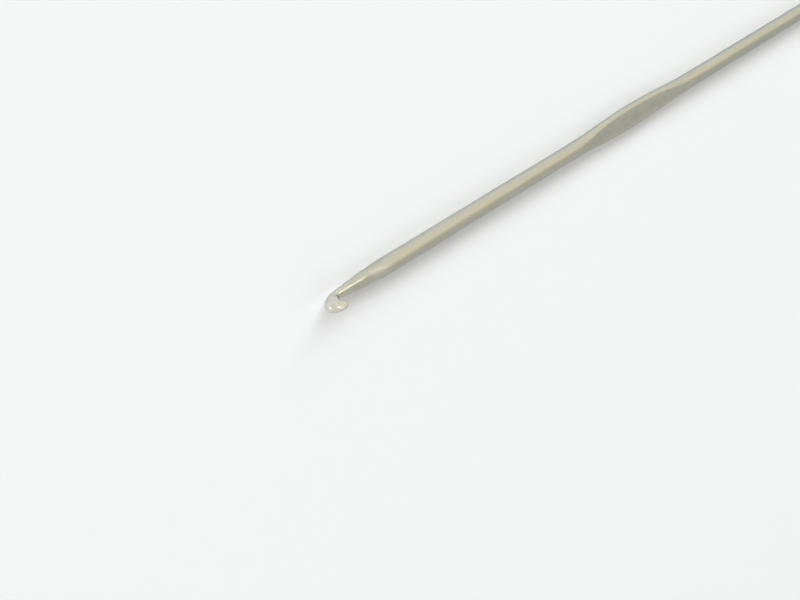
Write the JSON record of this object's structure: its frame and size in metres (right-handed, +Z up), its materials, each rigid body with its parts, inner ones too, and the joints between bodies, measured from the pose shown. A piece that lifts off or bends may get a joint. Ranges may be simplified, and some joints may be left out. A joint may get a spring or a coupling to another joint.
{
  "type": "aluminium crochet hook",
  "caption": "Slim aluminium crochet hook: a round shank with a rounded hooked head and a flat-cut throat, a flattened thumb rest and a plain round handle with a domed end.",
  "frame": {"origin": "on the ground, under the middle of the overall box, where the round shank and handle touch it", "axes": "+X along the rod towards the hooked tip, +Z up, square to the thumb rest's flats and out of the mouth, +Y across the thumb rest"},
  "size_m": [0.15, 0.0042, 0.0041],
  "materials": {
    "satin_aluminium": "satin, drawn and polished along its length, slightly warm grey"
  },
  "bodies": {
    "root": {"head": "satin_aluminium", "throat": "satin_aluminium", "shank": "satin_aluminium", "thumb_rest": "satin_aluminium", "handle": "satin_aluminium"}
  },
  "joints": []
}
